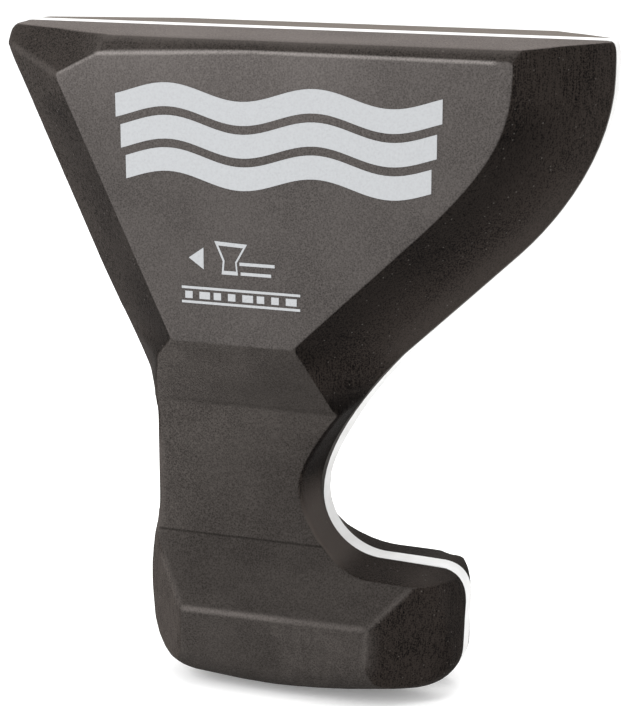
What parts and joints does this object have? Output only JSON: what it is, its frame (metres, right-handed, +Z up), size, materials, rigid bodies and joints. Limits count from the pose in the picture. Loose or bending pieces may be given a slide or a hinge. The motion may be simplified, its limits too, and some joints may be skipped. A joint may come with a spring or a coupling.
{
  "type": "pull buoy",
  "caption": "Keel-shaped swim training float: a wide wing, a narrow hand grip and a hooked foot, carved from laminated foam with a pale stripe round its edge",
  "frame": {"origin": "centre of the bounding box footprint, on the lowest point of the foot", "axes": "X to the right along the wing with the hand notch on the +X side, -Y out of the printed front panel, Z up from the foot to the top face"},
  "size_m": [0.2532, 0.0762, 0.28],
  "materials": {
    "dark_foam": "matte closed-cell foam with a fine pebbled skin",
    "pale_foam": "smooth cut foam, matte",
    "adhesive": "thin dark film of dried contact adhesive",
    "print_ink": "flat screen-print ink"
  },
  "bodies": {
    "root": {"front_foam_half": "dark_foam", "core_sheet": "pale_foam", "rear_foam_half": "dark_foam", "front_glue_film": "adhesive", "rear_glue_film": "adhesive", "emblem_print": "print_ink", "arrow_print": "print_ink", "grip_mark_print": "print_ink", "caption_print": "print_ink"}
  },
  "joints": []
}
